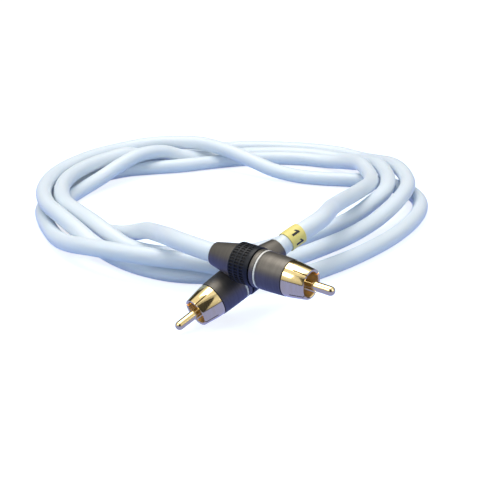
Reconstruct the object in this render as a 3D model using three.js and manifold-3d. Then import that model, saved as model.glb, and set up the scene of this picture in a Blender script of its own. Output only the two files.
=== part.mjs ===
// Subwoofer cable: a pale round lead about two metres long that lies in a loose coil, with a phono
// plug at each end. Millimetres, +Z up. The origin is on the floor, in the middle of the footprint.
import * as THREE from "three";
import { mergeVertices } from "three/addons/utils/BufferGeometryUtils.js";
import Module from "manifold-3d";

const wasm = await Module();
wasm.setup();

// Driving dimensions
const CABLE_DIAMETER = 7;
const PLUG_LENGTH = 49.3; // rear edge of the rear cap to the tip of the pin
const PIN_DIAMETER = 3.2;
const PIN_REACH = 9; // pin tip beyond the rim of the ground shell
const SHELL_LENGTH = 8; // seen length of the ground shell
const SHELL_BORE_RADIUS = 4.2;
const REAR_CAP_LENGTH = 10.8;
const GRIP_LENGTH = 8.5;
const REAR_RADIUS = 4.3;
const CAP_FRONT_RADIUS = 6.35;
const GRIP_RADIUS = 7.05; // the plug's widest place
const BARREL_RADIUS = 6.7;
const SHELL_REAR_RADIUS = 6.25;
const RIM_RADIUS = 5.25;
const RING_OFFSET = 1.8; // end of the grip to the start of the ring's groove
const RING_WIDTH = 0.7;
const GAP = 0.3; // clearance between neighbouring pieces
const JACKET_INSERTION = 10; // length of jacket inside a plug
const TAIL_STRAIGHT = 7; // the cable leaves each plug straight for this length

// Plug a lies across plug b's barrel, and the taper behind its grip lets it sink by this.
const CROSSING_SINK = 1.2;

// Where each plug lies: the middle of its rear edge, its heading and its tilt in degrees, and the turn
// of its slots about its own axis. Plug b carries plug a, whose height follows from it.
const PLUGS = {
  a: { rear: [-4.8, -89.2, 0], heading: -38, tilt: -1.3, slotTurn: 35 },
  b: { rear: [17.6, -75.2, 20.25], heading: -140.9, tilt: -21, slotTurn: -24 },
};

// The cable's way between its two straight ends, chosen by hand: three and a half turns that lie on
// the floor or on each other.
const CABLE_POINTS = [
  // Plug B tail, over the right end and round to the back.
  [28.9, -65.9, 24.9], [34.1, -58.3, 25.5], [37.7, -46.9, 24.2], [40.4, -33.3, 21.2],
  [44, -20.3, 18.4], [49.2, -6.3, 15.9], [54.2, 6.2, 13.8], [59.7, 17.2, 12.9], [63.7, 27.7, 11.5],
  [65.5, 38.2, 11], [65, 49.2, 11], [63, 60.2, 11.1], [60, 70.2, 8.6], [55.8, 80.2, 5.9],
  [48.7, 88, 4],
  // Back, then the outer floor strand at the left.
  [38.7, 93.2, 3.6], [27.2, 95.2, 3.6], [13.2, 94.7, 3.6], [0.2, 91.5, 3.6], [-12.8, 87, 3.6],
  [-26.8, 81.6, 3.6], [-40.8, 78.2, 3.6], [-53.8, 74.2, 3.6], [-65.2, 65.7, 3.6],
  [-74.5, 54.2, 3.6], [-81.3, 41.2, 3.6], [-85, 27.2, 3.6], [-85.2, 13.2, 3.6], [-81.8, -0.3, 3.6],
  [-77.2, -12.8, 3.7], [-71.8, -24.8, 4.4],
  // Up over the next strand, under the plugs, and the outer strand at the right.
  [-64.8, -36.3, 6.8], [-54.3, -47.8, 9.9], [-41.8, -55.8, 11], [-27.8, -61.1, 11],
  [-12.8, -64.5, 10.5], [1.2, -66.3, 8.5], [14.2, -65.8, 5.6], [27.2, -60.8, 3.8],
  [40.2, -50.8, 3.6], [54.2, -36.8, 3.6], [67.2, -20.8, 3.6], [78.2, -2.8, 3.6], [84.7, 13.2, 3.6],
  [86.7, 26.2, 3.6], [84.5, 38.7, 3.6], [77.7, 48.7, 3.6], [67.7, 55.2, 3.6],
  // Across the back on the floor, up over the others.
  [56.2, 58.2, 3.6], [44.2, 60.2, 3.6], [32.2, 63.9, 3.8], [20.2, 69.5, 5.2], [8.7, 76.7, 8.3],
  [-3.8, 85.5, 11], [-16.8, 93.7, 12.2],
  // Upper outer strand at the left, down to the front.
  [-30.8, 96.9, 11.7], [-44.8, 94.2, 11.6], [-57.8, 86.5, 11.1], [-68.8, 75.7, 11.1],
  [-77.3, 62.2, 11.1], [-83.3, 47.2, 11.1], [-85.8, 31.2, 11.1], [-84.8, 15.2, 11.1],
  [-80.3, 0.2, 11.1], [-73.1, -12.8, 11], [-64.7, -24.1, 9.2], [-55.8, -34, 6],
  [-45.8, -43.3, 3.9], [-34.3, -52.8, 3.6], [-20.8, -59.3, 3.6], [-5.8, -60.3, 3.6],
  [8.7, -55.3, 3.6],
  // Second strand at the right, over the floor strand.
  [22.7, -45.3, 3.6], [36.7, -32.8, 3.6], [50.7, -18.8, 4], [63.7, -4.3, 6], [74.2, 10.2, 9.3],
  [80.7, 25.2, 11], [82.2, 39.2, 11], [81, 53.2, 11], [78.5, 67.2, 9.2], [74.5, 81.5, 6],
  [67.7, 94.5, 3.7],
  // Rearmost strand, then the upper inner strand at the left.
  [57.7, 104.7, 3.6], [43.7, 111.2, 3.6], [27.2, 115, 3.6], [10.2, 116.2, 3.6], [-5.8, 113.7, 3.6],
  [-20.3, 107.7, 3.6], [-32.8, 98.2, 3.6], [-43.8, 87.2, 6.2], [-53.3, 79, 10.8],
  [-62.8, 68.7, 11], [-69.8, 58.2, 11.1], [-75.3, 45.2, 11.1], [-77.8, 31.2, 11.1],
  [-76.8, 16.2, 11.1], [-72.8, 2.2, 11.1], [-65.4, -10, 11.1], [-57.5, -20.3, 10.2],
  [-49.8, -28.1, 7.6], [-42.8, -33.1, 4.8],
  // Front inner strand, then the third strand at the right.
  [-35.3, -36.5, 3.6], [-27.3, -39.6, 3.6], [-16.8, -42.8, 3.6], [-5.8, -43.1, 3.6],
  [5.2, -39.3, 3.6], [16.7, -31.3, 3.6], [28.2, -21.8, 3.6], [39.7, -11.8, 3.6], [51.2, -0.3, 4.1],
  [61.2, 10.2, 6.9], [69.5, 20.9, 9.9], [72.9, 33.2, 11.1], [73.4, 46.2, 11.1], [71.9, 58.7, 11],
  [68.2, 71.7, 8.7], [63, 84.2, 5.5], [55, 94.5, 3.7],
  // Back, over the floor strand, and the inner floor strand at the left.
  [42.7, 101.5, 3.6], [29.2, 104.2, 3.6], [15.2, 104.2, 3.6], [1.2, 101.7, 3.6],
  [-12.8, 95.6, 3.6], [-25.1, 90.2, 6], [-36.3, 83.4, 10.6], [-47.3, 74.2, 11.5], [-56.1, 64.7, 9],
  [-64.8, 53.7, 5.5], [-72.3, 41.7, 3.7], [-76.8, 28.2, 3.6], [-76.3, 14.2, 3.6],
  [-71.3, 2.2, 3.6],
  // Plug A tail.
  [-63.8, -7.3, 3.6], [-54.3, -13.8, 3.7], [-45.8, -19.6, 4.9], [-39.1, -26.5, 8.3],
  [-33.8, -34.8, 12.1], [-29.3, -44.3, 14.8], [-26, -54.8, 18], [-22.8, -66.3, 21.6],
  [-18.4, -76.3, 23.8],
];

// Sizes inside the plug
const SEGMENTS = 28; // facets round a plug
const GRIP_COLUMNS = 40; // facets round the grip, one column of pockets on each
const BARREL_BORE_RADIUS = 5.2;
const ENTRY_CLEARANCE = 0.35; // round the cable in the rear cap and in the marker
const CLAMP_RADIUS = 4.15;
const CLAMP_LENGTH = 3.8;
const CLAMP_CLEARANCE = 0.2; // round the cable
const BODY_BORE_RADIUS = 3.6;
const CORE_RADIUS = 2.2;
const CONDUCTOR_RADIUS = 0.5;
const PIN_SHANK_RADIUS = 1.2;
const INSULATOR_LENGTH = 5.4;
const INSULATOR_DEPTH = 6.7; // its seen face below the rim
const NECK_LENGTH = 4.6; // part of the ground shell inside the barrel
const GROOVE_DEPTH = 0.6;
const SHIELD_LENGTH = 3.7;
const CORE_LENGTH = 9.7;
const CUP_DEPTH = 3;
const CUP_START = 23;
const EDGE = 0.25; // size of the small chamfers
const SHELL_STEP = 0.15; // the barrel's front stands out from the shell by this
const SLOT_COUNT = 4;
const SLOT_WIDTH = 0.45;
const SLOT_LENGTH = 5.2;
const CLAMP_SLIT = 0.8;
const POCKET_ROWS = 3;
const POCKET_PITCH = 2.2;
const POCKET_LENGTH = 1.5;
const POCKET_LEAD = 1.25; // edge of the grip to the middle of its first pockets
const POCKET_DEPTH = 0.35;
const POCKET_SHARE = 0.66; // width of a pocket against its facet

// Sizes of the cable's solid and of the marker
const TUBE_SIDES = 10;
const TUBE_STEPS = 116;
const MARKER_HALF = 3.4;
const MARKER_SIDES = 20;
const MARKER_WALL = 0.3;

// Stations along a plug's axis, from its rear edge
const GRIP_START = REAR_CAP_LENGTH;
const BARREL_START = GRIP_START + GRIP_LENGTH;
const RING_START = BARREL_START + RING_OFFSET;
const RIM = PLUG_LENGTH - PIN_REACH;
const SHELL_START = RIM - SHELL_LENGTH;
const NECK_START = SHELL_START - NECK_LENGTH;
const INSULATOR_END = RIM - INSULATOR_DEPTH;
const CORE_START = JACKET_INSERTION + GAP;
const CLAMP_START = JACKET_INSERTION - CLAMP_LENGTH;
const ENTRY_RADIUS = CABLE_DIAMETER / 2 + ENTRY_CLEARANCE;

const MATERIALS = {
  gunmetal: { color: 0x6d675f, metalness: 0.9, roughness: 0.42 },
  gold: { color: 0xd9b35a, metalness: 1, roughness: 0.2 },
  brass: { color: 0xb9974f, metalness: 1, roughness: 0.35 },
  copper: { color: 0xb87348, metalness: 1, roughness: 0.35 },
  tinned: { color: 0xb9bbbd, metalness: 1, roughness: 0.4 },
  blackGrip: { color: 0x15171a, metalness: 0, roughness: 0.5 },
  ivory: { color: 0xe9e7e1, metalness: 0, roughness: 0.45 },
  whitePlastic: { color: 0xe4e2dc, metalness: 0, roughness: 0.5 },
  foam: { color: 0xf1efe6, metalness: 0, roughness: 0.6 },
  jacket: { color: 0xd3e0ec, metalness: 0, roughness: 0.42 },
  markerYellow: { color: 0xecd65a, metalness: 0, roughness: 0.5 },
};

const root = new THREE.Group();
root.name = "subwoofer_cable";

function addMesh(name, geometry, material) {
  const mesh = new THREE.Mesh(geometry, new THREE.MeshStandardMaterial(MATERIALS[material]));
  mesh.name = name;
  root.add(mesh);
}

// A solid of revolution about +Y. The outline goes up on its outer side.
function turned(outline, segments = SEGMENTS) {
  return new THREE.LatheGeometry(outline.map(([r, y]) => new THREE.Vector2(r, y)), segments);
}

// A turned solid with a bore: the outer outline goes up, and the bore closes it.
function bored(outer, boreRadius, segments = SEGMENTS) {
  const start = outer[0][1];
  const end = outer[outer.length - 1][1];
  return turned([...outer, [boreRadius, end], [boreRadius, start], outer[0]], segments);
}

function toSolid(geometry) {
  const bare = geometry.index ? geometry.toNonIndexed() : geometry.clone();
  bare.deleteAttribute("normal");
  bare.deleteAttribute("uv");
  const merged = mergeVertices(bare, 1e-4);
  return new wasm.Manifold(
    new wasm.Mesh({
      numProp: 3,
      vertProperties: new Float32Array(merged.attributes.position.array),
      triVerts: new Uint32Array(merged.index.array),
    }),
  );
}

function toGeometry(solid) {
  const mesh = solid.getMesh();
  const geometry = new THREE.BufferGeometry();
  geometry.setAttribute("position", new THREE.BufferAttribute(mesh.vertProperties, 3));
  geometry.setIndex(new THREE.BufferAttribute(mesh.triVerts, 1));
  geometry.computeVertexNormals();
  return geometry;
}

function axisOf(plug) {
  const heading = THREE.MathUtils.degToRad(plug.heading);
  const tilt = THREE.MathUtils.degToRad(plug.tilt);
  return new THREE.Vector3(
    Math.cos(tilt) * Math.cos(heading),
    Math.cos(tilt) * Math.sin(heading),
    Math.sin(tilt),
  );
}

// Height of the upper plug's rear edge, with the two axes as far apart as their radii need.
function crossingHeight(upper, lower) {
  const apart = new THREE.Vector3().crossVectors(axisOf(lower), axisOf(upper)).normalize();
  const distance = GRIP_RADIUS + BARREL_RADIUS - CROSSING_SINK;
  const alongX = apart.x * (upper.rear[0] - lower.rear[0]);
  const alongY = apart.y * (upper.rear[1] - lower.rear[1]);
  return lower.rear[2] + (distance - alongX - alongY) / apart.z;
}

// The plug's own frame: +Y from the rear edge to the pin's tip, +Z on its upper side.
function frameOf(plug) {
  const axis = axisOf(plug);
  const side = new THREE.Vector3().crossVectors(axis, new THREE.Vector3(0, 0, 1)).normalize();
  const upper = new THREE.Vector3().crossVectors(side, axis);
  return new THREE.Matrix4().makeBasis(side, axis, upper).setPosition(...plug.rear);
}

function pointOnAxis(plug, station) {
  return new THREE.Vector3(...plug.rear).addScaledVector(axisOf(plug), station);
}

// Cone with a bore for the cable, and a wider one round the clamp.
function rearCap() {
  const end = REAR_CAP_LENGTH - GAP;
  const bore = CLAMP_RADIUS + GAP;
  const step = CLAMP_START - GAP;
  const rearEdge = [REAR_RADIUS - EDGE, 0];
  return turned([
    rearEdge,
    [REAR_RADIUS, EDGE],
    [CAP_FRONT_RADIUS, end],
    [bore, end],
    [bore, step],
    [ENTRY_RADIUS, step],
    [ENTRY_RADIUS, 0],
    rearEdge,
  ]);
}

// Sleeve with rows of pockets moulded in it behind a smooth front band.
function gripRing() {
  const end = BARREL_START - GAP;
  const outer = [
    [GRIP_RADIUS, GRIP_START],
    [GRIP_RADIUS, end],
  ];
  let solid = toSolid(bored(outer, CLAMP_RADIUS + GAP, GRIP_COLUMNS));
  const facet = Math.PI / GRIP_COLUMNS;
  const radius = GRIP_RADIUS * Math.cos(facet);
  const width = 2 * radius * Math.tan(facet) * POCKET_SHARE;
  for (let row = 0; row < POCKET_ROWS; row += 1) {
    const station = GRIP_START + POCKET_LEAD + POCKET_PITCH * row;
    for (let column = 0; column < GRIP_COLUMNS; column += 1) {
      const pocket = new THREE.BoxGeometry(width, POCKET_LENGTH, 2 * POCKET_DEPTH);
      pocket.translate(0, station, radius);
      pocket.rotateY((2 * column + 1) * facet);
      solid = solid.subtract(toSolid(pocket));
    }
  }
  return toGeometry(solid);
}

function barrel() {
  const end = SHELL_START - GAP;
  const grooveStart = RING_START - GAP;
  const grooveEnd = RING_START + RING_WIDTH + GAP;
  const front = SHELL_REAR_RADIUS + SHELL_STEP;
  const outer = [
    [BARREL_RADIUS - EDGE, BARREL_START],
    [BARREL_RADIUS, BARREL_START + EDGE],
    [BARREL_RADIUS, grooveStart],
    [BARREL_RADIUS - GROOVE_DEPTH, grooveStart],
    [BARREL_RADIUS - GROOVE_DEPTH, grooveEnd],
    [BARREL_RADIUS, grooveEnd],
    [front, end - EDGE],
    [front - EDGE, end],
  ];
  return bored(outer, BARREL_BORE_RADIUS);
}

function ivoryRing() {
  const outer = [
    [BARREL_RADIUS, RING_START],
    [BARREL_RADIUS, RING_START + RING_WIDTH],
  ];
  return bored(outer, BARREL_RADIUS - GROOVE_DEPTH + GAP);
}

// Tapered shell with a neck that sits in the barrel, cut by slots from its rim.
function groundShell(slotTurn) {
  const neck = BARREL_BORE_RADIUS - GAP;
  const outer = [
    [neck, NECK_START],
    [neck, SHELL_START],
    [SHELL_REAR_RADIUS, SHELL_START],
    [RIM_RADIUS, RIM - EDGE],
    [RIM_RADIUS - EDGE, RIM],
  ];
  let solid = toSolid(bored(outer, SHELL_BORE_RADIUS));
  for (let slot = 0; slot < SLOT_COUNT; slot += 1) {
    const cutter = new THREE.BoxGeometry(SLOT_WIDTH, SLOT_LENGTH + 1, SHELL_REAR_RADIUS);
    cutter.translate(0, RIM + 1 - (SLOT_LENGTH + 1) / 2, SHELL_REAR_RADIUS);
    cutter.rotateY(THREE.MathUtils.degToRad(slotTurn) + (slot * 2 * Math.PI) / SLOT_COUNT);
    solid = solid.subtract(toSolid(cutter));
  }
  return toGeometry(solid);
}

// Pin with a rounded tip, a shank in the insulator and a solder cup at its back.
function centrePin() {
  const radius = PIN_DIAMETER / 2;
  const cup = CONDUCTOR_RADIUS + GAP;
  const shoulder = INSULATOR_END + GAP;
  const tipStart = PLUG_LENGTH - radius;
  const outline = [
    [0, CUP_START + CUP_DEPTH],
    [cup, CUP_START + CUP_DEPTH],
    [cup, CUP_START],
    [PIN_SHANK_RADIUS, CUP_START],
    [PIN_SHANK_RADIUS, shoulder],
    [radius, shoulder],
    [radius, tipStart],
  ];
  for (const angle of [30, 60]) {
    const turn = THREE.MathUtils.degToRad(angle);
    outline.push([radius * Math.cos(turn), tipStart + radius * Math.sin(turn)]);
  }
  outline.push([0, PLUG_LENGTH]);
  return turned(outline);
}

function insulator() {
  const radius = SHELL_BORE_RADIUS - GAP;
  const outer = [
    [radius, INSULATOR_END - INSULATOR_LENGTH],
    [radius, INSULATOR_END],
  ];
  return bored(outer, PIN_SHANK_RADIUS + GAP);
}

// Metal body that carries the barrel, the grip and the ground shell.
function innerBody() {
  const rear = CLAMP_RADIUS;
  const front = BARREL_BORE_RADIUS - GAP;
  const outer = [
    [rear, CORE_START],
    [rear, BARREL_START + GAP],
    [front, BARREL_START + GAP],
    [front, NECK_START - GAP],
  ];
  return bored(outer, BODY_BORE_RADIUS);
}

// Split collet round the jacket, open on one side.
function cableClamp() {
  const inner = CABLE_DIAMETER / 2 + CLAMP_CLEARANCE;
  const outer = [
    [CLAMP_RADIUS, CLAMP_START],
    [CLAMP_RADIUS, JACKET_INSERTION],
  ];
  const slit = new THREE.BoxGeometry(CLAMP_SLIT, JACKET_INSERTION, CLAMP_RADIUS);
  slit.translate(0, JACKET_INSERTION, CLAMP_RADIUS);
  return toGeometry(toSolid(bored(outer, inner)).subtract(toSolid(slit)));
}

function shieldEnd() {
  const radius = BODY_BORE_RADIUS - GAP;
  const outer = [
    [radius, CORE_START],
    [radius, CORE_START + SHIELD_LENGTH],
  ];
  return bored(outer, CORE_RADIUS + GAP);
}

function coreInsulationEnd() {
  const outer = [
    [CORE_RADIUS, CORE_START],
    [CORE_RADIUS, CORE_START + CORE_LENGTH],
  ];
  return bored(outer, CONDUCTOR_RADIUS + GAP);
}

function conductorEnd() {
  const end = CUP_START + CUP_DEPTH - GAP;
  return turned([
    [0, CORE_START],
    [CONDUCTOR_RADIUS, CORE_START],
    [CONDUCTOR_RADIUS, end],
    [0, end],
  ]);
}

function addPlug(letter, plug) {
  const pieces = [
    ["rear_cap", rearCap(), "gunmetal"],
    ["grip_ring", gripRing(), "blackGrip"],
    ["barrel", barrel(), "gunmetal"],
    ["ivory_ring", ivoryRing(), "ivory"],
    ["ground_shell", groundShell(plug.slotTurn), "gold"],
    ["centre_pin", centrePin(), "gold"],
    ["insulator", insulator(), "whitePlastic"],
    ["inner_body", innerBody(), "brass"],
    ["cable_clamp", cableClamp(), "brass"],
    ["shield_end", shieldEnd(), "tinned"],
    ["core_insulation_end", coreInsulationEnd(), "foam"],
    ["conductor_end", conductorEnd(), "copper"],
  ];
  for (const [name, geometry, material] of pieces) {
    geometry.applyMatrix4(frameOf(plug));
    addMesh(`plug_${letter}_${name}`, geometry, material);
  }
}

function polygon(radius, sides) {
  const corners = [];
  for (let i = 0; i < sides; i += 1) {
    const turn = (2 * Math.PI * i) / sides;
    corners.push(new THREE.Vector2(radius * Math.cos(turn), radius * Math.sin(turn)));
  }
  return corners;
}

// Start inside plug b, straight out of it, round the coil, and straight into plug a.
function cablePath() {
  return new THREE.CatmullRomCurve3([
    pointOnAxis(PLUGS.b, JACKET_INSERTION),
    pointOnAxis(PLUGS.b, 0),
    pointOnAxis(PLUGS.b, -TAIL_STRAIGHT),
    ...CABLE_POINTS.map((point) => new THREE.Vector3(...point)),
    pointOnAxis(PLUGS.a, -TAIL_STRAIGHT),
    pointOnAxis(PLUGS.a, 0),
    pointOnAxis(PLUGS.a, JACKET_INSERTION),
  ]);
}

function cableJacket(path) {
  const section = new THREE.Shape(polygon(CABLE_DIAMETER / 2, TUBE_SIDES));
  return new THREE.ExtrudeGeometry(section, { steps: TUBE_STEPS, extrudePath: path });
}

// Short tube round the jacket, centred on the first bend of the jacket's solid.
function markerSleeve(path) {
  const [before, middle, after] = path.getSpacedPoints(TUBE_STEPS);
  const rear = before.clone().sub(middle).setLength(MARKER_HALF).add(middle);
  const front = after.clone().sub(middle).setLength(MARKER_HALF).add(middle);
  const bore = ENTRY_RADIUS;
  const section = new THREE.Shape(polygon(bore + MARKER_WALL, MARKER_SIDES));
  section.holes.push(new THREE.Path(polygon(bore, MARKER_SIDES)));
  return new THREE.ExtrudeGeometry(section, {
    steps: 2,
    extrudePath: new THREE.CatmullRomCurve3([rear, middle, front]),
  });
}

PLUGS.a.rear[2] = crossingHeight(PLUGS.a, PLUGS.b);
for (const [letter, plug] of Object.entries(PLUGS)) {
  addPlug(letter, plug);
}
const path = cablePath();
addMesh("cable_jacket", cableJacket(path), "jacket");
addMesh("marker_sleeve", markerSleeve(path), "markerYellow");

export default root;
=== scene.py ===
"""Subwoofer cable: a pale round lead of about two metres in a loose coil, with a phono plug at
each end. Metres, +Z up, in the same frame as its solids."""

from math import cos, pi, radians, sin, tau

import bpy
from mathutils import Matrix, Vector


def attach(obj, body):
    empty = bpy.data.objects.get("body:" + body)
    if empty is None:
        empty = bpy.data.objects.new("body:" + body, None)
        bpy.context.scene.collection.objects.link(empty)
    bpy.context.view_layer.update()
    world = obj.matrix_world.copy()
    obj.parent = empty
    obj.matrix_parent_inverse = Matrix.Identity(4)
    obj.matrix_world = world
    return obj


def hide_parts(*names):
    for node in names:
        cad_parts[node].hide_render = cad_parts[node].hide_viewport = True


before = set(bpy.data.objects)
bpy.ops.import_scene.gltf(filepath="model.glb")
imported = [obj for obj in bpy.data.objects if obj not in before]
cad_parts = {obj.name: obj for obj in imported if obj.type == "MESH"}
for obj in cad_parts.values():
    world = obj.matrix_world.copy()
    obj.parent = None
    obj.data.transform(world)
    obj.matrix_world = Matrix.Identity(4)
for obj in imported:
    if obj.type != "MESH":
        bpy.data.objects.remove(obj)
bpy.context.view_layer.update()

# The cable, and how it goes into a plug.
CABLE_DIAMETER = 0.007
CABLE_FACETS = 10
CABLE_STEPS = 8
JACKET_INSERTION = 0.010
TAIL_STRAIGHT = 0.007

# Places along a plug's axis, from its rear edge.
PLUG_LENGTH = 0.0493
CAP_STEP = 0.0059
CAP_END = 0.0105
GRIP_START = 0.0108
GRIP_END = 0.0190
BARREL_START = 0.0193
BARREL_END = 0.0320
RING_START = 0.0211
RING_END = 0.0218
NECK_START = 0.0277
SHELL_START = 0.0323
RIM = 0.0403
PIN_START = 0.0260
PIN_SHOULDER = 0.0339

# Radii and depths of a plug's pieces, and the gap between a piece and its neighbour.
GAP = 0.0003
REAR_RADIUS = 0.0043
CAP_FRONT_RADIUS = 0.00635
ENTRY_RADIUS = 0.00385
GRIP_RADIUS = 0.00705
GRIP_BORE = 0.00445
BARREL_RADIUS = 0.0067
BARREL_BORE = 0.0052
BARREL_OVER_SHELL = 0.00015
GROOVE_DEPTH = 0.0006
RING_CLEARANCE = 0.00005
SHELL_REAR_RADIUS = 0.00625
RIM_RADIUS = 0.00525
SHELL_BORE = 0.0042
PIN_RADIUS = 0.0016
SHANK_RADIUS = 0.0012
TIP_STEPS = 12
TIP_FLAT = 0.00003
SLOT_COUNT = 4
SLOT_WIDTH = 0.00045
SLOT_LENGTH = 0.0052
SLOT_RUN_OUT = 0.001
# How far outside a bore's radius a face may lie and still be the bore's wall.
WALL_MARGIN = 0.0002

# The grip's pockets: each column has two sides of pocket and one of ridge.
POCKET_ROWS = 3
POCKET_COLUMNS = 40
POCKET_SIDES = 3
POCKET_LEAD = 0.00125
POCKET_PITCH = 0.0022
POCKET_LENGTH = 0.0015
POCKET_DEPTH = 0.00035

# Widths of the rounded edges, and sides round a turned piece.
BARREL_EDGE = 0.00012
RING_EDGE = 0.0001
POCKET_EDGE = 0.00006
MARKER_EDGE = 0.00008
ROUND_SIDES = 96
PIN_SIDES = 64

# The marker sleeve, its middle measured from plug b's rear edge, and the numerals on it.
MARKER_MIDDLE = 0.0075
MARKER_HALF = 0.0034
MARKER_RADIUS = 0.0039
MARKER_BORE = 0.0036
MARKER_FACETS = 16
MARKER_SPANS = 24
NUMERAL_HEIGHT = 0.0034
NUMERAL_CUTS = 5
INK_DEPTH = 0.00003
# A bold 1, in shares of its height, and its places round the sleeve in degrees.
NUMERAL_CORNERS = [
    (-0.04, -0.5),
    (0.22, -0.5),
    (0.22, 0.5),
    (0.02, 0.5),
    (-0.3, 0.24),
    (-0.3, 0.04),
    (-0.04, 0.2),
]
NUMERAL_TURNS = (38, 98, 158)

# Each plug's rear edge, heading and tilt, and the turn of its slots.
PLUGS = {
    "a": {"rear": (-0.0048, -0.0892, 0.02407), "heading": -38, "tilt": -1.3, "slot_turn": 35},
    "b": {"rear": (0.0176, -0.0752, 0.02025), "heading": -140.9, "tilt": -21, "slot_turn": -24},
}

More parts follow.
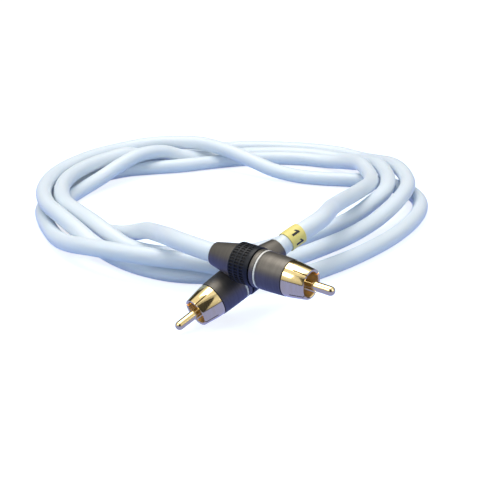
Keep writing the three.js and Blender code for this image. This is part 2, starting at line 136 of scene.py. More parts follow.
# The cable's way between its two straight ends, the same as in the solids.
CABLE_POINTS = [
    # Plug B tail, over the right end and round to the back.
    (0.0289, -0.0659, 0.0249), (0.0341, -0.0583, 0.0255), (0.0377, -0.0469, 0.0242),
    (0.0404, -0.0333, 0.0212), (0.0440, -0.0203, 0.0184), (0.0492, -0.0063, 0.0159),
    (0.0542, 0.0062, 0.0138), (0.0597, 0.0172, 0.0129), (0.0637, 0.0277, 0.0115),
    (0.0655, 0.0382, 0.0110), (0.0650, 0.0492, 0.0110), (0.0630, 0.0602, 0.0111),
    (0.0600, 0.0702, 0.0086), (0.0558, 0.0802, 0.0059), (0.0487, 0.0880, 0.0040),
    # Back, then the outer floor strand at the left.
    (0.0387, 0.0932, 0.0036), (0.0272, 0.0952, 0.0036), (0.0132, 0.0947, 0.0036),
    (0.0002, 0.0915, 0.0036), (-0.0128, 0.0870, 0.0036), (-0.0268, 0.0816, 0.0036),
    (-0.0408, 0.0782, 0.0036), (-0.0538, 0.0742, 0.0036), (-0.0652, 0.0657, 0.0036),
    (-0.0745, 0.0542, 0.0036), (-0.0813, 0.0412, 0.0036), (-0.0850, 0.0272, 0.0036),
    (-0.0852, 0.0132, 0.0036), (-0.0818, -0.0003, 0.0036), (-0.0772, -0.0128, 0.0037),
    (-0.0718, -0.0248, 0.0044),
    # Up over the next strand, under the plugs, and the outer strand at the right.
    (-0.0648, -0.0363, 0.0068), (-0.0543, -0.0478, 0.0099), (-0.0418, -0.0558, 0.0110),
    (-0.0278, -0.0611, 0.0110), (-0.0128, -0.0645, 0.0105), (0.0012, -0.0663, 0.0085),
    (0.0142, -0.0658, 0.0056), (0.0272, -0.0608, 0.0038), (0.0402, -0.0508, 0.0036),
    (0.0542, -0.0368, 0.0036), (0.0672, -0.0208, 0.0036), (0.0782, -0.0028, 0.0036),
    (0.0847, 0.0132, 0.0036), (0.0867, 0.0262, 0.0036), (0.0845, 0.0387, 0.0036),
    (0.0777, 0.0487, 0.0036), (0.0677, 0.0552, 0.0036),
    # Across the back on the floor, up over the others.
    (0.0562, 0.0582, 0.0036), (0.0442, 0.0602, 0.0036), (0.0322, 0.0639, 0.0038),
    (0.0202, 0.0695, 0.0052), (0.0087, 0.0767, 0.0083), (-0.0038, 0.0855, 0.0110),
    (-0.0168, 0.0937, 0.0122),
    # Upper outer strand at the left, down to the front.
    (-0.0308, 0.0969, 0.0117), (-0.0448, 0.0942, 0.0116), (-0.0578, 0.0865, 0.0111),
    (-0.0688, 0.0757, 0.0111), (-0.0773, 0.0622, 0.0111), (-0.0833, 0.0472, 0.0111),
    (-0.0858, 0.0312, 0.0111), (-0.0848, 0.0152, 0.0111), (-0.0803, 0.0002, 0.0111),
    (-0.0731, -0.0128, 0.0110), (-0.0647, -0.0241, 0.0092), (-0.0558, -0.0340, 0.0060),
    (-0.0458, -0.0433, 0.0039), (-0.0343, -0.0528, 0.0036), (-0.0208, -0.0593, 0.0036),
    (-0.0058, -0.0603, 0.0036), (0.0087, -0.0553, 0.0036),
    # Second strand at the right, over the floor strand.
    (0.0227, -0.0453, 0.0036), (0.0367, -0.0328, 0.0036), (0.0507, -0.0188, 0.0040),
    (0.0637, -0.0043, 0.0060), (0.0742, 0.0102, 0.0093), (0.0807, 0.0252, 0.0110),
    (0.0822, 0.0392, 0.0110), (0.0810, 0.0532, 0.0110), (0.0785, 0.0672, 0.0092),
    (0.0745, 0.0815, 0.0060), (0.0677, 0.0945, 0.0037),
    # Rearmost strand, then the upper inner strand at the left.
    (0.0577, 0.1047, 0.0036), (0.0437, 0.1112, 0.0036), (0.0272, 0.1150, 0.0036),
    (0.0102, 0.1162, 0.0036), (-0.0058, 0.1137, 0.0036), (-0.0203, 0.1077, 0.0036),
    (-0.0328, 0.0982, 0.0036), (-0.0438, 0.0872, 0.0062), (-0.0533, 0.0790, 0.0108),
    (-0.0628, 0.0687, 0.0110), (-0.0698, 0.0582, 0.0111), (-0.0753, 0.0452, 0.0111),
    (-0.0778, 0.0312, 0.0111), (-0.0768, 0.0162, 0.0111), (-0.0728, 0.0022, 0.0111),
    (-0.0654, -0.0100, 0.0111), (-0.0575, -0.0203, 0.0102), (-0.0498, -0.0281, 0.0076),
    (-0.0428, -0.0331, 0.0048),
    # Front inner strand, then the third strand at the right.
    (-0.0353, -0.0365, 0.0036), (-0.0273, -0.0396, 0.0036), (-0.0168, -0.0428, 0.0036),
    (-0.0058, -0.0431, 0.0036), (0.0052, -0.0393, 0.0036), (0.0167, -0.0313, 0.0036),
    (0.0282, -0.0218, 0.0036), (0.0397, -0.0118, 0.0036), (0.0512, -0.0003, 0.0041),
    (0.0612, 0.0102, 0.0069), (0.0695, 0.0209, 0.0099), (0.0729, 0.0332, 0.0111),
    (0.0734, 0.0462, 0.0111), (0.0719, 0.0587, 0.0110), (0.0682, 0.0717, 0.0087),
    (0.0630, 0.0842, 0.0055), (0.0550, 0.0945, 0.0037),
    # Back, over the floor strand, and the inner floor strand at the left.
    (0.0427, 0.1015, 0.0036), (0.0292, 0.1042, 0.0036), (0.0152, 0.1042, 0.0036),
    (0.0012, 0.1017, 0.0036), (-0.0128, 0.0956, 0.0036), (-0.0251, 0.0902, 0.0060),
    (-0.0363, 0.0834, 0.0106), (-0.0473, 0.0742, 0.0115), (-0.0561, 0.0647, 0.0090),
    (-0.0648, 0.0537, 0.0055), (-0.0723, 0.0417, 0.0037), (-0.0768, 0.0282, 0.0036),
    (-0.0763, 0.0142, 0.0036), (-0.0713, 0.0022, 0.0036),
    # Plug A tail.
    (-0.0638, -0.0073, 0.0036), (-0.0543, -0.0138, 0.0037), (-0.0458, -0.0196, 0.0049),
    (-0.0391, -0.0265, 0.0083), (-0.0338, -0.0348, 0.0121), (-0.0293, -0.0443, 0.0148),
    (-0.0260, -0.0548, 0.0180), (-0.0228, -0.0663, 0.0216), (-0.0184, -0.0763, 0.0238),
]


def axis_of(plug):
    """The direction from a plug's rear edge to its pin's tip."""
    heading, tilt = radians(plug["heading"]), radians(plug["tilt"])
    return Vector((cos(tilt) * cos(heading), cos(tilt) * sin(heading), sin(tilt)))


def plug_frame(plug):
    """The plug's own frame: +Z from its rear edge to the pin's tip, -Y on its upper side."""
    axis = axis_of(plug)
    side = axis.cross(Vector((0, 0, 1))).normalized()
    upper = side.cross(axis)
    turn = Matrix((side, -upper, axis)).transposed().to_4x4()
    return Matrix.Translation(plug["rear"]) @ turn


def on_axis(plug, station):
    """The point of a plug's axis at a distance from its rear edge."""
    return Vector(plug["rear"]) + axis_of(plug) * station


def smooth_way(points, steps):
    """A smooth line through the points, by chords' square roots, with some steps to each chord."""
    before = points[0] * 2 - points[1]
    after = points[-1] * 2 - points[-2]
    full = [before, *points, after]
    line = []
    for p0, p1, p2, p3 in zip(full, full[1:], full[2:], full[3:]):
        d0, d1, d2 = (p1 - p0).length ** 0.5, (p2 - p1).length ** 0.5, (p3 - p2).length ** 0.5
        t1 = ((p1 - p0) / d0 - (p2 - p0) / (d0 + d1) + (p2 - p1) / d1) * d1
        t2 = ((p2 - p1) / d1 - (p3 - p1) / (d1 + d2) + (p3 - p2) / d2) * d1
        for step in range(steps):
            t = step / steps
            bend = (p2 - p1) * 3 - t1 * 2 - t2
            close = (p1 - p2) * 2 + t1 + t2
            line.append(p1 + t1 * t + bend * t**2 + close * t**3)
    return [*line, points[-1]]


# Materials: each is named for what the real one is, and how its surface was made.


def linear(colour):
    """An sRGB hex colour as linear RGBA."""
    parts = [int(colour[i : i + 2], 16) / 255 for i in (1, 3, 5)]
    return (*(c / 12.92 if c <= 0.04045 else ((c + 0.055) / 1.055) ** 2.4 for c in parts), 1)


def add_node(material, kind, inputs, **settings):
    """Adds a node, sets its fields, and sets or links its sockets."""
    tree = material.node_tree
    made = tree.nodes.new("ShaderNode" + kind)
    for field, value in settings.items():
        setattr(made, field, value)
    for socket, value in inputs.items():
        if isinstance(value, bpy.types.NodeSocket):
            tree.links.new(value, made.inputs[socket])
        else:
            made.inputs[socket].default_value = value
    return made


def new_material(name, colour, **sockets):
    """A material whose shader's sockets are set, and that shader."""
    material = bpy.data.materials.new(name)
    material.use_nodes = True
    material.diffuse_color = linear(colour)
    shader = material.node_tree.nodes["Principled BSDF"]
    shader.inputs["Base Color"].default_value = linear(colour)
    for socket, value in sockets.items():
        shader.inputs[socket.replace("_", " ")].default_value = value
    return material, shader


def mottle(material, shader, place, size, tones):
    """Blotches of some size in metres, between two colours."""
    blotch = add_node(material, "TexNoise", {"Vector": place, "Scale": 1 / size, "Detail": 2.0})
    mixed = add_node(
        material,
        "Mix",
        {0: blotch.outputs["Fac"], 6: linear(tones[0]), 7: linear(tones[1])},
        data_type="RGBA",
    )
    material.node_tree.links.new(mixed.outputs[2], shader.inputs["Base Color"])


def grain(material, shader, place, size, depth, rough):
    """A fine bump of some size and depth in metres, which also varies the roughness."""
    noise = add_node(material, "TexNoise", {"Vector": place, "Scale": 1 / size, "Detail": 3.0})
    bump = add_node(
        material, "Bump", {"Height": noise.outputs["Fac"], "Distance": depth, "Strength": 1.0}
    )
    spread = add_node(
        material,
        "MapRange",
        {"Value": noise.outputs["Fac"], "To Min": rough[0], "To Max": rough[1]},
    )
    material.node_tree.links.new(bump.outputs["Normal"], shader.inputs["Normal"])
    material.node_tree.links.new(spread.outputs["Result"], shader.inputs["Roughness"])


def pvc_jacket():
    """Soft PVC, extruded: even and semi-matt, with a faint orange peel and milky depth."""
    material, shader = new_material(
        "extruded_pvc", "#e2ebf3", Roughness=0.42, IOR=1.52, Subsurface_Weight=0.15
    )
    shader.inputs["Subsurface Radius"].default_value = (0.5, 0.7, 1.0)
    shader.inputs["Subsurface Scale"].default_value = 0.0012
    place = add_node(material, "TexCoord", {}).outputs["Object"]
    mottle(material, shader, place, size=0.020, tones=("#e3ebf2", "#d9e4ed"))
    grain(material, shader, place, size=0.0006, depth=0.00001, rough=(0.36, 0.48))
    return material


def painted_shade_by_radius(material, shader, near, far, colour):
    """Painted shade: another colour on the faces nearer to the plug's axis than some radius, for
    recesses.
    """
    place = add_node(material, "Attribute", {}, attribute_name="plug_place").outputs["Vector"]
    flat = add_node(material, "VectorMath", {0: place, 1: (1, 1, 0)}, operation="MULTIPLY")
    radius = add_node(material, "VectorMath", {0: flat.outputs["Vector"]}, operation="LENGTH")
    share = add_node(
        material,
        "MapRange",
        {"Value": radius.outputs["Value"], "From Min": near, "From Max": far},
    )
    surface = shader.inputs["Base Color"].links[0].from_socket
    mixed = add_node(
        material,
        "Mix",
        {0: share.outputs["Result"], 6: linear(colour), 7: surface},
        data_type="RGBA",
    )
    material.node_tree.links.new(mixed.outputs[2], shader.inputs["Base Color"])


def turned_metal(name, colour, tones, line, depth, rough, **sockets):
    """Turned metal: fine rings round the plug's axis, from the tool, a line's width apart. The
    pattern is drawn out across the axis, so that it runs round the piece."""
    material, shader = new_material(name, colour, **sockets)
    place = add_node(material, "Attribute", {}, attribute_name="plug_place").outputs["Vector"]
    drawn = add_node(material, "Mapping", {"Vector": place, "Scale": (0.08, 0.08, 1)})
    mottle(material, shader, drawn.outputs["Vector"], line * 4, tones)
    grain(material, shader, drawn.outputs["Vector"], line, depth, rough)
    return material


def moulded(name, colour, tones, size, depth, rough, **sockets):
    """A moulded or painted finish with a fine even grain."""
    material, shader = new_material(name, colour, **sockets)
    place = add_node(material, "TexCoord", {}).outputs["Object"]
    mottle(material, shader, place, size * 6, tones)
    grain(material, shader, place, size, depth, rough)
    return material


def braided():
    """Tinned copper braid: grey wires, 0.15 mm thick and as far apart, askew to the axes. At a
    scale of 1000 the wave repeats each 0.31 mm."""
    material, shader = new_material("tinned_braid", "#b9bbbd", Metallic=1.0, Roughness=0.4)
    place = add_node(material, "TexCoord", {}).outputs["Object"]
    turned = add_node(material, "Mapping", {"Vector": place, "Rotation": (0.6, 0.5, 0.8)})
    wires = add_node(
        material, "TexWave", {"Vector": turned.outputs["Vector"], "Scale": 1000, "Distortion": 1.0}
    )
    bump = add_node(
        material, "Bump", {"Height": wires.outputs["Fac"], "Distance": 0.00006, "Strength": 1.0}
    )
    material.node_tree.links.new(bump.outputs["Normal"], shader.inputs["Normal"])
    return material


JACKET = pvc_jacket()
# Aluminium, turned, blasted and anodised gunmetal: satin, a little brown where it is lit.
GUNMETAL = turned_metal(
    "anodised_aluminium",
    "#686560",
    tones=("#5e5b57", "#73706a"),
    line=0.00016,
    depth=0.00001,
    rough=(0.42, 0.56),
    Metallic=0.9,
)
# Brass, turned and gold plated: bright and nearly mirror smooth.
GOLD = turned_metal(
    "gold_plate",
    "#f1dba2",
    tones=("#f3dea8", "#ebd292"),
    line=0.00025,
    depth=0.0000015,
    rough=(0.08, 0.15),
    Metallic=1.0,
)
# The same plating on the bored faces, which were never polished: soft and dull. Its slightly
# deeper gold is painted shade, for the bore's inner reflections.
SHADED_BORE_GOLD = turned_metal(
    "gold_plate_bored",
    "#f3d79a",
    tones=("#f5dba2", "#eccb88"),
    line=0.00025,
    depth=0.000003,
    rough=(0.3, 0.42),
    Metallic=0.8,
)
# Nylon, moulded with a fine spark texture: black and dull, with painted shade that makes its
# pocket floors darker.
GRIP = moulded(
    "moulded_nylon",
    "#14181f",
    tones=("#11151b", "#1a1f27"),
    size=0.0002,
    depth=0.000012,
    rough=(0.36, 0.5),
    Specular_IOR_Level=0.25,
)
# Painted shade: the pocket floors, nearer the axis than the ridges, are made near black.
painted_shade_by_radius(
    GRIP,
    GRIP.node_tree.nodes["Principled BSDF"],
    near=GRIP_RADIUS - 0.00012,
    far=GRIP_RADIUS - 0.00002,
    colour="#04060a",
)
# Enamel, filled into its groove: ivory white and satin.
ENAMEL = moulded(
    "enamel",
    "#e9e7e0",
    tones=("#ece9e3", "#e2dfd8"),
    size=0.0003,
    depth=0.000004,
    rough=(0.3, 0.42),
)
# PTFE, turned: white and waxy.
PTFE = moulded(
    "ptfe",
    "#e4e2dc",
    tones=("#e8e6e1", "#dddad2"),
    size=0.0004,
    depth=0.000008,
    rough=(0.4, 0.55),
)
# Brass, turned: yellow and bright.
BRASS = moulded(
    "turned_brass",
    "#b9974f",
    tones=("#bf9d55", "#a98843"),
    size=0.0002,
    depth=0.000004,
    rough=(0.25, 0.4),
    Metallic=1.0,
)
# Copper, drawn: pink and smooth.
COPPER = moulded(
    "drawn_copper",
    "#b87348",
    tones=("#c07b4f", "#a8653c"),
    size=0.0002,
    depth=0.000003,
    rough=(0.25, 0.4),
    Metallic=1.0,
)
# Polyethylene foam, extruded: milky white, with fine cells.
FOAM = moulded(
    "foamed_polyethylene",
    "#f1efe6",
    tones=("#f3f1ea", "#e8e6dc"),
    size=0.0003,
    depth=0.00002,
    rough=(0.5, 0.65),
)
BRAID = braided()
# Polyolefin, shrunk on: yellow and semi-matt.
MARKER = moulded(
    "shrunk_polyolefin",
    "#ecdd82",
    tones=("#eee089", "#e4d26f"),
    size=0.0003,
    depth=0.000008,
    rough=(0.38, 0.5),
)
# Marking ink, printed: black and dull.
INK = moulded(
    "marking_ink",
    "#16171a",
    tones=("#141518", "#1f2126"),
    size=0.0002,
    depth=0.000004,
    rough=(0.4, 0.55),
)

# Steps that shape a piece.


def edit(piece, selecting):
    """Opens a piece in edit mode, where vertices, edges or faces are selected."""
    modes = ("VERT", "EDGE", "FACE")
    bpy.context.tool_settings.mesh_select_mode = [mode == selecting for mode in modes]
    bpy.context.view_layer.objects.active = piece
    bpy.ops.object.mode_set(mode="EDIT")


def turned(outline, sides=ROUND_SIDES, solid=False):
    """A turned piece about Z: a circle is drawn out through the outline's radii and heights.
    A solid one starts on a disc, and the other closes on its first ring."""
    bpy.ops.object.select_all(action="DESELECT")
    radius, height = outline[0]
    bpy.ops.mesh.primitive_circle_add(
        vertices=sides,
        radius=radius,
        location=(0, 0, 0),
        fill_type="NGON" if solid else "NOTHING",
    )
    piece = bpy.context.object
    edit(piece, "EDGE")
    bpy.ops.mesh.select_all(action="SELECT")
    bpy.ops.transform.translate(value=(0, 0, height))
    rings = outline[1:] if solid else [*outline[1:], outline[0]]
    for new_radius, new_height in rings:
        bpy.ops.mesh.extrude_region_move(
            TRANSFORM_OT_translate={"value": (0, 0, new_height - height)}
        )
        share = new_radius / radius
        bpy.ops.transform.resize(value=(share, share, 1), center_override=(0, 0, new_height))
        radius, height = new_radius, new_height
    bpy.ops.mesh.select_all(action="SELECT")
    bpy.ops.mesh.remove_doubles(threshold=1e-6)
    bpy.ops.mesh.normals_make_consistent(inside=False)
    bpy.ops.object.mode_set(mode="OBJECT")
    return piece


def with_modifier(piece, kind, **settings):
    """Adds a modifier, sets it and applies it."""
    modifier = piece.modifiers.new(kind.lower(), kind)
    for field, value in settings.items():
        setattr(modifier, field, value)
    bpy.context.view_layer.objects.active = piece
    bpy.ops.object.modifier_apply(modifier=modifier.name)


def soften(piece, width, segments, angle):
    """Rounds the edges that are sharper than some angle in degrees."""
    with_modifier(
        piece,
        "BEVEL",
        width=width,
        segments=segments,
        limit_method="ANGLE",
        angle_limit=radians(angle),
    )


def select_only(piece):
    """Selects one piece and makes it the active one."""
    bpy.ops.object.select_all(action="DESELECT")
    piece.select_set(True)
    bpy.context.view_layer.objects.active = piece


def as_mesh(piece):
    """A curve made a mesh."""
    select_only(piece)
    bpy.ops.object.convert(target="MESH")
    return bpy.context.object


def finish_piece(piece, material, slot, *nodes, place=None, smooth=35):
    """Keeps each point's place in the plug, puts the piece in its own place, shades it smooth
    up to some angle in degrees, and hands it over."""
    mesh = piece.data
    kept = mesh.attributes.new("plug_place", "FLOAT_VECTOR", "POINT")
    for point, vertex in zip(kept.data, mesh.vertices):
        point.vector = vertex.co
    select_only(piece)
    if place is not None:
        piece.matrix_world = place
        bpy.ops.object.transform_apply(location=True, rotation=True, scale=True)
    bpy.ops.object.shade_smooth_by_angle(angle=radians(smooth))
    mesh.materials.clear()
    mesh.materials.append(material)
    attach(piece, "root")
    if nodes:
        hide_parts(*nodes)
    piece.select_set(False)
    return piece


def select_faces(piece, chosen):
    """Selects the faces that the test picks, for edit mode."""
    mesh = piece.data
    for vertex in mesh.vertices:
        vertex.select = False
    for edge in mesh.edges:
        edge.select = False
    for face in mesh.polygons:
        face.select = chosen(face)


# The plugs.


def rear_cap():
    """A cone with a rounded rear lip and a countersunk entry for the cable."""
    return turned(
        [
            # The countersunk entry and the rounded lip.
            (ENTRY_RADIUS, 0.0004),
            (ENTRY_RADIUS + 0.00012, 0.00008),
            (REAR_RADIUS - 0.00022, 0),
            (REAR_RADIUS - 0.00006, 0.00012),
            (REAR_RADIUS, 0.0003),
            # The cone's softened front edge, and the step inside it.
            (CAP_FRONT_RADIUS - 0.00004, CAP_END - 0.00014),
            (CAP_FRONT_RADIUS - 0.00018, CAP_END),
            (GRIP_BORE, CAP_END),
            (GRIP_BORE, CAP_STEP),
            (ENTRY_RADIUS, CAP_STEP),
        ]
    )


def grip_ring():
    """A black sleeve with a smooth front band and three rows of moulded pockets."""
    outline = [(GRIP_BORE, GRIP_START), (GRIP_RADIUS, GRIP_START)]
    middles = [GRIP_START + POCKET_LEAD + POCKET_PITCH * row for row in range(POCKET_ROWS)]
    for middle in middles:
        for height in (middle - POCKET_LENGTH / 2, middle + POCKET_LENGTH / 2):
            outline.append((GRIP_RADIUS, height))
    outline += [(GRIP_RADIUS, GRIP_END), (GRIP_BORE, GRIP_END)]
    sides = POCKET_SIDES * POCKET_COLUMNS
    piece = turned(outline, sides=sides)

    def is_pocket(face):
        in_row = any(abs(face.center.z - middle) < POCKET_LENGTH / 4 for middle in middles)
        outside = face.center.xy.length > GRIP_BORE + WALL_MARGIN
        turn = face.center.xy.angle_signed(Vector((1, 0))) % tau
        return in_row and outside and int(turn / tau * sides) % POCKET_SIDES != 0

    select_faces(piece, is_pocket)
    edit(piece, "FACE")
    bpy.ops.mesh.extrude_region_shrink_fatten(TRANSFORM_OT_shrink_fatten={"value": -POCKET_DEPTH})
    bpy.ops.object.mode_set(mode="OBJECT")
    soften(piece, POCKET_EDGE, segments=2, angle=40)
    return piece


def barrel():
    """A satin barrel, widest at the groove of its ring, tapering a little to the shell."""
    bottom = BARREL_RADIUS - GROOVE_DEPTH
    front = SHELL_REAR_RADIUS + BARREL_OVER_SHELL
    piece = turned(
        [
            (BARREL_BORE, BARREL_START),
            (BARREL_RADIUS, BARREL_START),
            # The groove.
            (BARREL_RADIUS, RING_START - GAP / 2),
            (bottom, RING_START - GAP / 2),
            (bottom, RING_END + GAP / 2),
            (BARREL_RADIUS, RING_END + GAP / 2),
            # The taper, slight at first.
            (BARREL_RADIUS - 0.00002, RING_END + 0.003),
            (BARREL_RADIUS - 0.00012, RING_END + 0.006),
            (front, BARREL_END),
            (BARREL_BORE, BARREL_END),
        ]
    )
    soften(piece, BARREL_EDGE, segments=3, angle=35)
    return piece


def ivory_ring():
    """A thin ring, flush in the barrel's groove."""
    bottom = BARREL_RADIUS - GROOVE_DEPTH + RING_CLEARANCE
    piece = turned(
        [
            (bottom, RING_START),
            (BARREL_RADIUS, RING_START),
            (BARREL_RADIUS, RING_END),
            (bottom, RING_END),
        ]
    )
    soften(piece, RING_EDGE, segments=3, angle=35)
    return piece


def ground_shell(slot_turn):
    """A tapered shell with a neck in the barrel, a rounded rim, and slots from its rim."""
    neck = BARREL_BORE - GAP
    piece = turned(
        [
            (SHELL_BORE, NECK_START),
            (neck, NECK_START),
            (neck, SHELL_START),
            # The shoulder, which bends slowly into the taper.
            (SHELL_REAR_RADIUS, SHELL_START),
            (SHELL_REAR_RADIUS - 0.00006, SHELL_START + 0.0012),
            (SHELL_REAR_RADIUS - 0.00016, SHELL_START + 0.0022),
            # The rim, rounded on both sides.
            (RIM_RADIUS, RIM - 0.0003),
            (RIM_RADIUS - 0.00012, RIM - 0.00008),
            (RIM_RADIUS - 0.00035, RIM),
            (SHELL_BORE + 0.00035, RIM),
            (SHELL_BORE + 0.0001, RIM - 0.0002),
            (SHELL_BORE, RIM - 0.0006),
        ]
    )
    cut = SLOT_LENGTH + SLOT_RUN_OUT
    for slot in range(SLOT_COUNT):
        angle = radians(slot_turn) + slot * tau / SLOT_COUNT
        bpy.ops.object.select_all(action="DESELECT")
        bpy.ops.mesh.primitive_cube_add(size=1)
        cutter = bpy.context.object
        cutter.scale = (SLOT_WIDTH, SHELL_REAR_RADIUS, cut)
        cutter.rotation_euler = (0, 0, angle)
        away = Vector((sin(angle), -cos(angle), 0)) * SHELL_REAR_RADIUS
        cutter.location = away + Vector((0, 0, RIM + SLOT_RUN_OUT - cut / 2))
        bpy.context.view_layer.update()
        with_modifier(piece, "BOOLEAN", object=cutter, operation="DIFFERENCE", solver="EXACT")
        bpy.data.objects.remove(cutter)
    return piece


def centre_pin():
    """A pin with a rounded tip, on the thinner shank that goes through the insulator."""
    tip = PLUG_LENGTH - PIN_RADIUS
    outline = [
        (SHANK_RADIUS, PIN_START),
        (SHANK_RADIUS, PIN_SHOULDER),
        # The shoulder's small chamfer.
        (PIN_RADIUS - 0.0001, PIN_SHOULDER),
        (PIN_RADIUS, PIN_SHOULDER + 0.0001),
        (PIN_RADIUS, tip),
    ]
    for step in range(1, TIP_STEPS):
        angle = step / TIP_STEPS * pi / 2
        outline.append((PIN_RADIUS * cos(angle), tip + PIN_RADIUS * sin(angle)))
    outline.append((TIP_FLAT, PLUG_LENGTH))
    piece = turned(outline, sides=PIN_SIDES, solid=True)
    edit(piece, "EDGE")
    bpy.ops.mesh.select_all(action="DESELECT")
    bpy.ops.mesh.select_non_manifold()
    bpy.ops.mesh.edge_face_add()
    bpy.ops.mesh.select_all(action="SELECT")
    bpy.ops.mesh.normals_make_consistent(inside=False)
    bpy.ops.object.mode_set(mode="OBJECT")
    return piece


def line_bore(shell):
    """Gives the faces of the shell's bore their softer plating, slightly deeper gold as painted
    shade.
    """
    mesh = shell.data
    mesh.materials.append(SHADED_BORE_GOLD)
    places = mesh.attributes["plug_place"].data
    for face in mesh.polygons:
        furthest = max(places[vertex].vector.xy.length for vertex in face.vertices)
        if furthest < SHELL_BORE + WALL_MARGIN:
            face.material_index = 1


def dress_plug(letter, plug):
    """The seen pieces of one plug, each in place of its own solid."""
    place = plug_frame(plug)
    makes = [
        ("rear_cap", rear_cap, GUNMETAL, "gunmetal"),
        ("grip_ring", grip_ring, GRIP, "black_grip"),
        ("barrel", barrel, GUNMETAL, "gunmetal"),
        ("ivory_ring", ivory_ring, ENAMEL, "ivory"),
        ("ground_shell", lambda: ground_shell(plug["slot_turn"]), GOLD, "gold_plate"),
        ("centre_pin", centre_pin, GOLD, "gold_plate"),
    ]
    made = []
    for part, make, material, slot in makes:
        piece = make()
        piece.name = f"dressed_{letter}_{part}"
        made.append(finish_piece(piece, material, slot, f"plug_{letter}_{part}", place=place))
        if part == "ground_shell":
            line_bore(piece)
    return made


# The cable.


def cable_line():
    """The cable's way, from inside plug b to inside plug a."""
    start, end = PLUGS["b"], PLUGS["a"]
    points = [on_axis(start, JACKET_INSERTION), on_axis(start, 0), on_axis(start, -TAIL_STRAIGHT)]
    points += [Vector(point) for point in CABLE_POINTS]
    points += [on_axis(end, -TAIL_STRAIGHT), on_axis(end, 0), on_axis(end, JACKET_INSERTION)]
    return smooth_way(points, CABLE_STEPS)


def tube(name, line, radius, resolution, caps):
    """A round tube along one open line."""
    curve = bpy.data.curves.new(name, "CURVE")
    curve.dimensions = "3D"
    curve.bevel_depth = radius
    curve.bevel_resolution = resolution
    curve.use_fill_caps = caps
    spline = curve.splines.new("POLY")
    spline.points.add(len(line) - 1)
    for point, spot in zip(spline.points, line):
        point.co = (*spot, 1)
    piece = bpy.data.objects.new(name, curve)
    bpy.context.collection.objects.link(piece)
    return piece


def stretch_of(line, start, end, step):
    """Points of the line from one length along it to another."""
    cuts, walked = [], 0.0
    wanted = start
    for a, b in zip(line, line[1:]):
        span = (b - a).length
        while wanted <= min(walked + span, end):
            cuts.append(a.lerp(b, (wanted - walked) / span))
            wanted += step
        walked += span
    return cuts


def marker_sleeve(line):
    """A short shrunk sleeve on the tail of plug b, a wall's thickness deep at its open ends, and
    the spots along its middle."""
    middle = JACKET_INSERTION + MARKER_MIDDLE
    # A little under a whole span, so that the last spot isn't lost to rounding.
    step = 2 * MARKER_HALF / (MARKER_SPANS + 0.0001)
    spots = stretch_of(line, middle - MARKER_HALF, middle + MARKER_HALF, step)
    piece = as_mesh(tube("dressed_marker_sleeve", spots, MARKER_RADIUS, MARKER_FACETS, False))
    with_modifier(piece, "SOLIDIFY", thickness=MARKER_RADIUS - MARKER_BORE, offset=-1)
    soften(piece, MARKER_EDGE, segments=2, angle=50)
    return piece, spots


def wrapped_numeral(name, spots, turn):
    """A printed 1, drawn flat, cut fine and wrapped on the sleeve, its top away from the plug."""
    curve = bpy.data.curves.new(name, "CURVE")
    curve.fill_mode = "BOTH"
    outline = curve.splines.new("POLY")
    outline.points.add(len(NUMERAL_CORNERS) - 1)
    outline.use_cyclic_u = True
    for point, (x, y) in zip(outline.points, NUMERAL_CORNERS):
        point.co = (x * NUMERAL_HEIGHT, y * NUMERAL_HEIGHT, 0, 1)
    piece = bpy.data.objects.new(name, curve)
    bpy.context.collection.objects.link(piece)
    piece = as_mesh(piece)
    edit(piece, "FACE")
    bpy.ops.mesh.select_all(action="SELECT")
    bpy.ops.mesh.subdivide(number_cuts=NUMERAL_CUTS)
    bpy.ops.object.mode_set(mode="OBJECT")
    away = (spots[-1] - spots[0]).normalized()
    seen = away.cross(Vector((0, 0, 1)).cross(away)).normalized()
    for vertex in piece.data.vertices:
        # Its share of the sleeve's length, which stays short of the last spot.
        share = 0.5 + vertex.co.y / (2 * MARKER_HALF)
        place = min(max(share, 0), 0.999) * (len(spots) - 1)
        middle = spots[int(place)].lerp(spots[int(place) + 1], place % 1)
        angle = turn + vertex.co.x / MARKER_RADIUS
        out = seen * cos(angle) + away.cross(seen) * sin(angle)
        vertex.co = middle + out * (MARKER_RADIUS + INK_DEPTH)
    with_modifier(piece, "SOLIDIFY", thickness=INK_DEPTH * 2, offset=-1)
    return piece


cord_line = cable_line()
cord = tube("dressed_cable", cord_line, CABLE_DIAMETER / 2, CABLE_FACETS, True)
cord.data.materials.append(JACKET)
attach(cord, "root")
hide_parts("cable_jacket")

marker, marker_spots = marker_sleeve(cord_line)
finish_piece(marker, MARKER, "marker_yellow", "marker_sleeve", smooth=50)

for number, turn in enumerate(NUMERAL_TURNS):
    numeral = wrapped_numeral(f"printed_one_{number}", marker_spots, radians(turn))
    finish_piece(numeral, INK, "marker_yellow")

dressed = {letter: dress_plug(letter, plug) for letter, plug in PLUGS.items()}

# The solids inside the plugs stay, each with a material of its own.
INNER = {
    "insulator": PTFE,
    "inner_body": BRASS,
    "cable_clamp": BRASS,
    "shield_end": BRAID,
    "core_insulation_end": FOAM,
    "conductor_end": COPPER,
}
inner_nodes = {}
for letter in PLUGS:
    inner_nodes[letter] = []
    for part, material in INNER.items():
        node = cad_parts[f"plug_{letter}_{part}"]
        node.data.materials.clear()
        node.data.materials.append(material)
        inner_nodes[letter].append(node)

# Floor, light and camera.

# The camera: its place, how far it looks down in degrees, its lens and sensor in millimetres, and
# the nearest that it sees.
CAMERA_SPOT = (0.0037, -0.4123, 0.1551)
CAMERA_DOWN = 21.3
CAMERA_LENS = 75
CAMERA_SENSOR = 36
CAMERA_CLIP = 0.01
# The paper's side, how far it lies below the object, its own colour, the white that the camera
# sees added to it, and the light that metal sees.
FLOOR_SIDE = 8
FLOOR_DROP = 0.0001
FLOOR_COLOUR = "#a9bfd8"
FLOOR_WHITE = 0.78
FLOOR_LILAC = (0.34, 0.42, 1.2, 1)
# Light from all round, a little blue.
FILL_COLOUR = (0.84, 0.92, 1, 1)
FILL_STRENGTH = 0.52
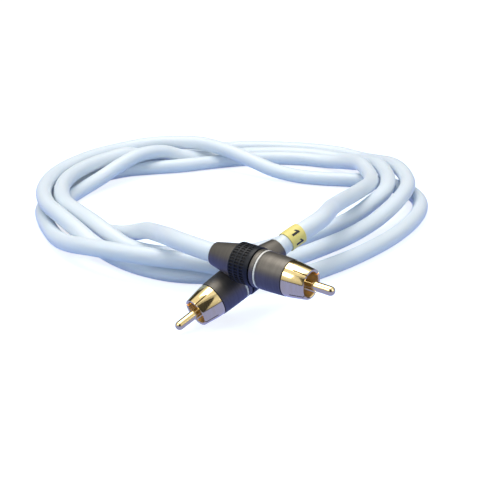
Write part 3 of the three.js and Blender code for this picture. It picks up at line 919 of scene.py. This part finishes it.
# Tones of the studio from its front, over the top and down to its back, each with its place.
STUDIO_BANDS = [
    (0.0, 0.03),
    (0.02, 0.05),
    (0.045, 0.55),
    (0.2, 0.9),
    (0.31, 0.75),
    (0.33, 0.25),
    (0.35, 1.0),
    (0.7, 1.0),
    (0.77, 0.06),
    (1.0, 0.03),
]
# The dark card behind the camera.
CARD_SIDE = 0.56
CARD_SPOT = (0.0037, -0.6, 0.3)
CARD_COLOUR = "#4a443c"
# Each lamp's name, place, aim, size, power in watts and colour.
LAMPS = [
    ("top_lamp", (-0.1, 0.1, 0.8), (0, 0, 0), (0.6, 0.5), 4.7, (1, 0.95, 0.89)),
    ("left_lamp", (-0.55, -0.4, 0.5), (0, -0.05, 0), (0.3, 0.3), 1.1, (1, 0.97, 0.94)),
    ("right_lamp", (0.55, -0.45, 0.4), (0, -0.08, 0), (0.12, 0.5), 0.8, (1, 0.98, 0.96)),
]


def floor():
    """A pale blue paper floor, white to the camera, that keeps the object's shadow. Metal sees it
    lilac, as a paper in the shade of the object."""
    bpy.ops.object.select_all(action="DESELECT")
    bpy.ops.mesh.primitive_plane_add(size=FLOOR_SIDE, location=(0, 0, -FLOOR_DROP))
    sheet = bpy.context.object
    sheet.name = "paper_floor"
    material = bpy.data.materials.new("pale_paper")
    material.use_nodes = True
    material.node_tree.nodes.clear()
    path = add_node(material, "LightPath", {})
    seen = add_node(
        material,
        "Math",
        {0: path.outputs["Is Camera Ray"], 1: path.outputs["Is Transmission Ray"]},
        operation="MAXIMUM",
    )
    glow = add_node(material, "Math", {0: seen.outputs[0], 1: FLOOR_WHITE}, operation="MULTIPLY")
    white = add_node(material, "Emission", {"Color": (1, 1, 1, 1), "Strength": glow.outputs[0]})
    paper = add_node(material, "BsdfDiffuse", {"Color": linear(FLOOR_COLOUR)})
    lit = add_node(material, "AddShader", {0: paper.outputs[0], 1: white.outputs[0]})
    lilac = add_node(material, "Emission", {"Color": FLOOR_LILAC, "Strength": 1.0})
    both = add_node(
        material,
        "MixShader",
        {0: path.outputs["Is Glossy Ray"], 1: lit.outputs[0], 2: lilac.outputs[0]},
    )
    add_node(material, "OutputMaterial", {"Surface": both.outputs[0]})
    sheet.data.materials.append(material)


def lamp(name, spot, aim, size, power, colour):
    """A soft rectangular lamp that looks at a point."""
    data = bpy.data.lights.new(name, "AREA")
    data.shape = "RECTANGLE"
    data.size, data.size_y = size
    data.energy = power
    data.color = colour
    made = bpy.data.objects.new(name, data)
    made.location = spot
    made.rotation_euler = (Vector(aim) - Vector(spot)).to_track_quat("-Z", "Y").to_euler()
    bpy.context.collection.objects.link(made)


def sky():
    """A soft bluish fill, white to the camera. Metal sees the studio over the floor: a front wall
    and a soft box overhead, with a dark line between them, and the dark room behind."""
    world = bpy.data.worlds.new("studio")
    bpy.context.scene.world = world
    world.use_nodes = True
    world.node_tree.nodes.clear()
    fill = add_node(world, "Background", {"Color": FILL_COLOUR, "Strength": FILL_STRENGTH})
    white = add_node(world, "Background", {"Color": (1, 1, 1, 1), "Strength": 1.0})
    path = add_node(world, "LightPath", {})
    way = add_node(world, "TexCoord", {}).outputs["Generated"]
    parts = add_node(world, "SeparateXYZ", {"Vector": way})
    ahead = add_node(
        world, "Math", {0: parts.outputs["Y"], 1: -1.0}, operation="MULTIPLY"
    ).outputs[0]
    turn = add_node(world, "Math", {0: parts.outputs["Z"], 1: ahead}, operation="ARCTAN2")
    share = add_node(world, "Math", {0: turn.outputs[0], 1: pi}, operation="DIVIDE")
    ramp = add_node(world, "ValToRGB", {"Fac": share.outputs[0]})
    stops = ramp.color_ramp.elements
    while len(stops) < len(STUDIO_BANDS):
        stops.new(0.5)
    for stop, (place, tone) in zip(stops, STUDIO_BANDS):
        stop.position = place
        # A little warm.
        stop.color = (tone, tone * 0.98, tone * 0.94, 1)
    room = add_node(world, "Background", {"Color": ramp.outputs["Color"], "Strength": 1.0})
    glossy = add_node(
        world,
        "MixShader",
        {0: path.outputs["Is Glossy Ray"], 1: fill.outputs[0], 2: room.outputs[0]},
    )
    seen = add_node(
        world,
        "MixShader",
        {0: path.outputs["Is Camera Ray"], 1: glossy.outputs[0], 2: white.outputs[0]},
    )
    add_node(world, "OutputWorld", {"Surface": seen.outputs[0]})


def dark_card():
    """A dark card behind the camera, as a camera shows in polished gold; no camera sees it."""
    bpy.ops.object.select_all(action="DESELECT")
    bpy.ops.mesh.primitive_plane_add(
        size=CARD_SIDE, location=CARD_SPOT, rotation=(radians(90 - CAMERA_DOWN), 0, 0)
    )
    card = bpy.context.object
    card.name = "dark_card"
    material, _ = new_material("brown_felt", CARD_COLOUR, Roughness=0.9)
    card.data.materials.append(material)
    card.visible_camera = False
    card.visible_diffuse = False
    card.visible_shadow = False


floor()
sky()
dark_card()
for row in LAMPS:
    lamp(*row)

camera = bpy.data.objects.new("camera", bpy.data.cameras.new("camera"))
camera.location = CAMERA_SPOT
camera.rotation_euler = (radians(90 - CAMERA_DOWN), 0, 0)
camera.data.lens = CAMERA_LENS
camera.data.sensor_width = CAMERA_SENSOR
camera.data.clip_start = CAMERA_CLIP
bpy.context.collection.objects.link(camera)
bpy.context.scene.camera = camera
bpy.context.scene.view_settings.view_transform = "Standard"
